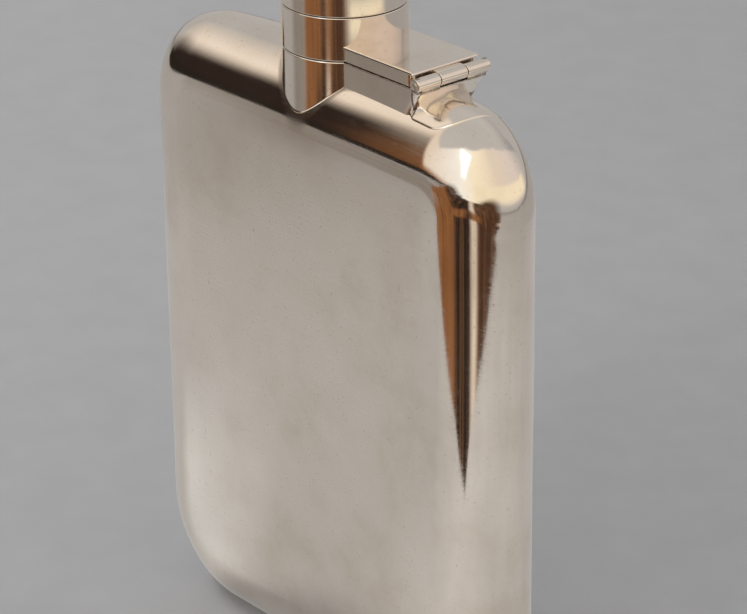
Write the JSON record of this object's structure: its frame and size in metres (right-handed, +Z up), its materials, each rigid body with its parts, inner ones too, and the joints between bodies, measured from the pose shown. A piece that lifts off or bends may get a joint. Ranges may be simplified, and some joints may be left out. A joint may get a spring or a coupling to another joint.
{
  "type": "hip flask",
  "caption": "Flat pillow-shaped metal pocket flask with full-round sides and a hinged bayonet cap held captive beside the neck.",
  "frame": {"origin": "centre of the flat foot that the flask stands on", "axes": "+Z up through the neck, +X towards the cap hinge, -Y towards the front shell"},
  "size_m": [0.094, 0.0232, 0.1397],
  "materials": {
    "satin_silver": "worn satin silver, softly polished",
    "polished_silver": "polished silver with fine wear",
    "bright_silver": "bright turned silver",
    "pin_steel": "dull drawn wire",
    "cork": "fine natural cork"
  },
  "bodies": {
    "flask": {"front_shell": "satin_silver", "back_shell": "satin_silver", "base_plate": "satin_silver", "neck_tube": "bright_silver", "neck_saddle": "satin_silver", "neck_collar": "polished_silver", "bayonet_lugs": "bright_silver", "hinge_block": "polished_silver", "lower_knuckles": "polished_silver", "hinge_pin": "pin_steel"},
    "hinge_leaf": {"hinge_ring": "polished_silver", "leaf_body": "polished_silver", "leaf_plate": "polished_silver", "middle_knuckle": "polished_silver"},
    "cap": {"cap_shell": "polished_silver", "cap_top": "polished_silver", "bayonet_sleeve": "bright_silver", "retaining_ring": "bright_silver", "cork_disc": "cork", "cork_plate": "bright_silver", "cork_rivet": "bright_silver"}
  },
  "joints": [
    {"name": "cap_hinge", "type": "hinge", "parent": "flask", "child": "hinge_leaf", "pos_m": [0.027, 0, 0.1193], "axis": [0, 1, 0], "range_deg": [0, 110]},
    {"name": "cap_twist", "type": "hinge", "parent": "hinge_leaf", "child": "cap", "pos_m": [0, 0, 0.122], "axis": [0, 0, 1], "range_deg": [0, 60]}
  ]
}
